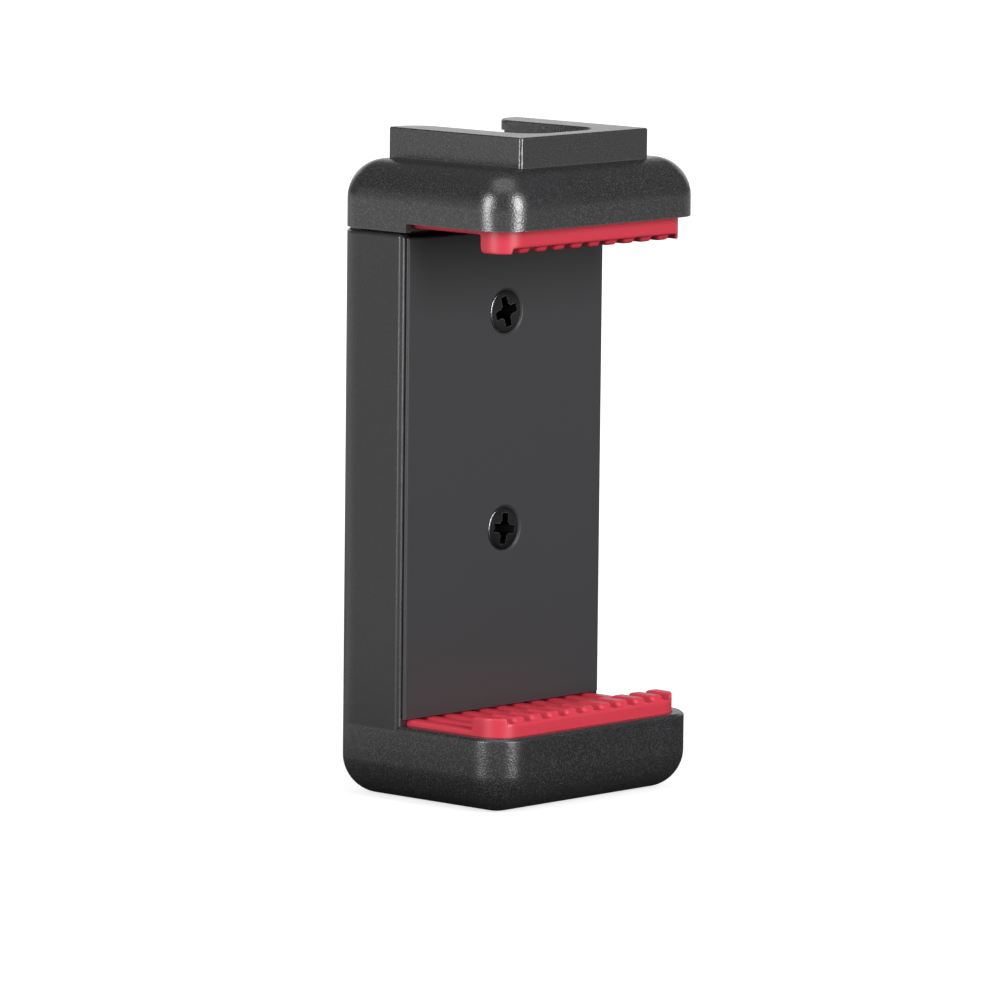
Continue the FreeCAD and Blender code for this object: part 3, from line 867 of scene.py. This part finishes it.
def make_spring(node, name):
    """One spring wire, hooked on both pins."""
    low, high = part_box(node)
    lower_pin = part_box("lower_spring_pin")
    upper_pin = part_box("upper_spring_pin")
    middle = Vector(((low[0] + high[0]) / 2, (lower_pin[0][1] + lower_pin[1][1]) / 2, 0))
    lower_ring = Vector((middle.x, middle.y, low[2] + WIRE_RADIUS + RING_RADIUS))
    upper_ring = Vector((middle.x, middle.y, high[2] - WIRE_RADIUS - RING_RADIUS))
    coil_bottom = (lower_pin[0][2] + lower_pin[1][2]) / 2 + COIL_GAP
    coil_top = (upper_pin[0][2] + upper_pin[1][2]) / 2 - COIL_GAP
    coil_radius = (high[0] - low[0]) / 2 - WIRE_RADIUS
    route = ring_points(lower_ring, 1)
    route += coil_points(middle, coil_bottom, coil_top, coil_radius)
    route += reversed(ring_points(upper_ring, -1))
    curve = bpy.data.curves.new(name, "CURVE")
    curve.dimensions = "3D"
    curve.bevel_depth = WIRE_RADIUS
    curve.bevel_resolution = WIRE_DETAIL
    curve.resolution_u = WIRE_DETAIL
    curve.use_fill_caps = True
    wire = curve.splines.new("NURBS")
    wire.points.add(len(route) - 1)
    for point, place in zip(wire.points, route):
        point.co = (*place, 1.0)
    wire.order_u = WIRE_ORDER
    wire.use_endpoint_u = True
    pick(add_object(name, curve))
    bpy.ops.object.convert(target="MESH")
    spring = bpy.context.active_object
    bpy.ops.object.shade_smooth()
    dress(spring, spring_steel)
    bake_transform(spring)
    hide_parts(node)
    print(name, triangles(spring), "triangles")
    return spring


make_spring("left_spring", "left_tension_spring")
make_spring("right_spring", "right_tension_spring")

# %% [markdown]
# ## Threaded insert
# The brass bush in the foot is knurled outside and tapped for a tripod screw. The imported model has
# the knurl and a plain bore. The thread is cut into a copy of it by a wound triangle, as a tap
# does, which starts below the bore and ends above it, so that both ends of the thread run out.

# %% Tapped insert
TRIPOD_PITCH = 1.27 * MM
TRIPOD_MINOR = 2.55 * MM
TRIPOD_MAJOR = 3.15 * MM
GROOVE_HALF = 0.52 * MM
GROOVE_MARGIN = 0.05 * MM
GROOVE_SINK = 0.1 * MM
GROOVE_LEAD = 1.5
GROOVE_EXTRA_TURNS = 3
GROOVE_STEPS = 48


def make_insert():
    """The insert with its tripod thread cut."""
    low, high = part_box("tripod_insert")
    insert = copy_node("tripod_insert", "tapped_insert")
    start = low[2] - GROOVE_LEAD * TRIPOD_PITCH
    turns = math.ceil((high[2] - low[2]) / TRIPOD_PITCH) + GROOVE_EXTRA_TURNS
    groove = [
        (TRIPOD_MINOR - GROOVE_SINK, 0.0, start - GROOVE_HALF - GROOVE_MARGIN),
        (TRIPOD_MAJOR, 0.0, start),
        (TRIPOD_MINOR - GROOVE_SINK, 0.0, start + GROOVE_HALF + GROOVE_MARGIN),
    ]
    cutter = wound_thread("tripod_thread", groove, "Z", TRIPOD_PITCH, turns, GROOVE_STEPS)
    cut_with(insert, cutter)
    bpy.ops.object.shade_smooth_by_angle(angle=SMOOTH_TURN)
    dress(insert, brass)
    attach(insert, "holder")
    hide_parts("tripod_insert")
    print("tapped_insert", triangles(insert), "triangles")
    return insert


make_insert()

# %% [markdown]
# ## Spring pins
# The two pins are plain round bars of ground steel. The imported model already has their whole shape,
# so they stay as they are and only get their steel.

# %% Finishes of the nodes that stay
for node in ("lower_spring_pin", "upper_spring_pin"):
    dress(frame["nodes"][node], pin_steel)
    print("node", node, "dressed in", pin_steel.name)

# %% [markdown]
# ## Floor, background and light
# The floor is plain white. Near the holder it keeps the shadow, and further out it brightens into
# the white background. What the black faces mirror of it is dark close by and paler further out,
# and paler on the left than on the right. It throws little light back up, so the undersides stay
# dark. Light Path tells the kinds of ray apart, so the background can be white with no more light
# on the holder.

# %% Floor and world
FLOOR_SIZE = 12.0
FLOOR_PALE = 0.5
FLOOR_BOUNCE = 0.06
FLOOR_ROUGHNESS = 0.9
# Each fade: where it starts and ends, and its values before and after
SEEN_LIFT = (0.08, 0.4, 0.72, 1.0)
MIRROR_LEFT = (0.02, 0.12, 0.0, 0.66)
MIRROR_RIGHT = (0.02, 0.5, 0.0, 0.4)
RIGHT_SIDE = (-0.04, 0.04, 0.0, 1.0)
AMBIENT = 0.27
MIRROR_AMBIENT = 0.13


def ray_kinds(tree):
    """Two masks: rays that see a thing directly, and glossy rays."""
    kinds = tree.nodes.new("ShaderNodeLightPath").outputs
    direct = math_node(tree, "MAXIMUM", kinds["Is Camera Ray"], kinds["Is Transmission Ray"])
    return direct, kinds["Is Glossy Ray"]


def fade_node(tree, distance, fade):
    """A value that changes smoothly over a distance."""
    ramp = tree.nodes.new("ShaderNodeMapRange")
    ramp.interpolation_type = "SMOOTHSTEP"
    tree.links.new(distance, ramp.inputs["Value"])
    for label, value in zip(("From Min", "From Max", "To Min", "To Max"), fade):
        ramp.inputs[label].default_value = value
    return ramp.outputs["Result"]


def make_floor():
    """A wide white floor that keeps the object's shadow."""
    bpy.ops.object.select_all(action="DESELECT")
    bpy.ops.mesh.primitive_plane_add(size=FLOOR_SIZE, location=(0, 0, 0))
    floor = settle(bpy.context.active_object, "floor")
    material, tree, shader = new_material("white_floor")
    direct, mirrored = ray_kinds(tree)
    bounce, pale = (FLOOR_BOUNCE,) * 3, (FLOOR_PALE,) * 3
    tree.links.new(mix_colour(tree, direct, bounce, pale), shader.inputs["Base Color"])
    shader.inputs["Roughness"].default_value = FLOOR_ROUGHNESS
    shader.inputs["Specular IOR Level"].default_value = 0.0
    where = tree.nodes.new("ShaderNodeTexCoord").outputs["Object"]
    reach = tree.nodes.new("ShaderNodeVectorMath")
    reach.operation = "LENGTH"
    tree.links.new(where, reach.inputs[0])
    seen_lift = fade_node(tree, reach.outputs["Value"], SEEN_LIFT)
    left_lift = fade_node(tree, reach.outputs["Value"], MIRROR_LEFT)
    right_lift = fade_node(tree, reach.outputs["Value"], MIRROR_RIGHT)
    parts = tree.nodes.new("ShaderNodeSeparateXYZ")
    tree.links.new(where, parts.inputs[0])
    on_right = fade_node(tree, parts.outputs["X"], RIGHT_SIDE)
    change = math_node(tree, "SUBTRACT", right_lift, left_lift)
    mirror_lift = math_node(tree, "ADD", left_lift, math_node(tree, "MULTIPLY", change, on_right))
    seen_part = math_node(tree, "MULTIPLY", direct, seen_lift)
    mirror_part = math_node(tree, "MULTIPLY", mirrored, mirror_lift)
    tree.links.new(math_node(tree, "ADD", seen_part, mirror_part), shader.inputs["Emission Strength"])
    shader.inputs["Emission Color"].default_value = (1, 1, 1, 1)
    dress(floor, material)
    return floor


def make_world():
    """White to the camera, grey as a light and a darker grey in mirrors."""
    world = bpy.data.worlds.new("studio")
    bpy.context.scene.world = world
    world.use_nodes = True
    tree = world.node_tree
    background = tree.nodes["Background"]
    direct, mirrored = ray_kinds(tree)
    seen_part = math_node(tree, "MULTIPLY", direct, 1.0 - AMBIENT)
    mirror_part = math_node(tree, "MULTIPLY", mirrored, MIRROR_AMBIENT - AMBIENT)
    extra = math_node(tree, "ADD", seen_part, mirror_part)
    tree.links.new(math_node(tree, "ADD", extra, AMBIENT), background.inputs["Strength"])
    background.inputs["Color"].default_value = (1, 1, 1, 1)
    return world


floor = make_floor()
world = make_world()
bpy.context.scene.view_settings.view_transform = "Standard"
print("floor", floor.name, "and world", world.name)

# %% [markdown]
# ### Soft boxes
# Two soft boxes stand left and right of the camera, where they draw the two upright lights on the
# rounded corners. Weaker ones light the left faces and the upper edges, and one stands low behind,
# to skim the top faces.

# %% Soft boxes
# Each box: name, turn and lift in degrees, distance, width and height in metres, brightness
SOFT_BOXES = (
    ("left_box", -90.0, 14.0, 0.6, 0.2, 0.5, 10.0),
    ("right_box", -3.0, 14.0, 0.6, 0.2, 0.5, 13.8),
    ("side_box", -133.0, 8.0, 0.6, 0.4, 0.24, 0.25),
    ("top_box", -40.0, 76.0, 0.6, 0.5, 0.5, 1.0),
    ("back_box", 132.0, 17.0, 0.7, 0.9, 0.3, 0.9),
)


def soft_box(name, turn, lift, distance, width, height, brightness):
    """An area lamp aimed at the middle of the object; turn 0 is in front, positive to the right."""
    data = bpy.data.lights.new(name, "AREA")
    data.shape = "RECTANGLE"
    data.size = width
    data.size_y = height
    data.energy = brightness * math.pi * width * height
    lamp = add_object(name, data)
    a, e = math.radians(turn), math.radians(lift)
    place = Vector((math.sin(a) * math.cos(e), -math.cos(a) * math.cos(e), math.sin(e))) * distance
    lamp.location = place + Vector((0, 0, AIM_HEIGHT))
    lamp.rotation_mode = "QUATERNION"
    lamp.rotation_quaternion = (-place).to_track_quat("-Z", "Y")
    lamp.visible_camera = False
    return lamp


for box in SOFT_BOXES:
    print("lamp", soft_box(*box).name)
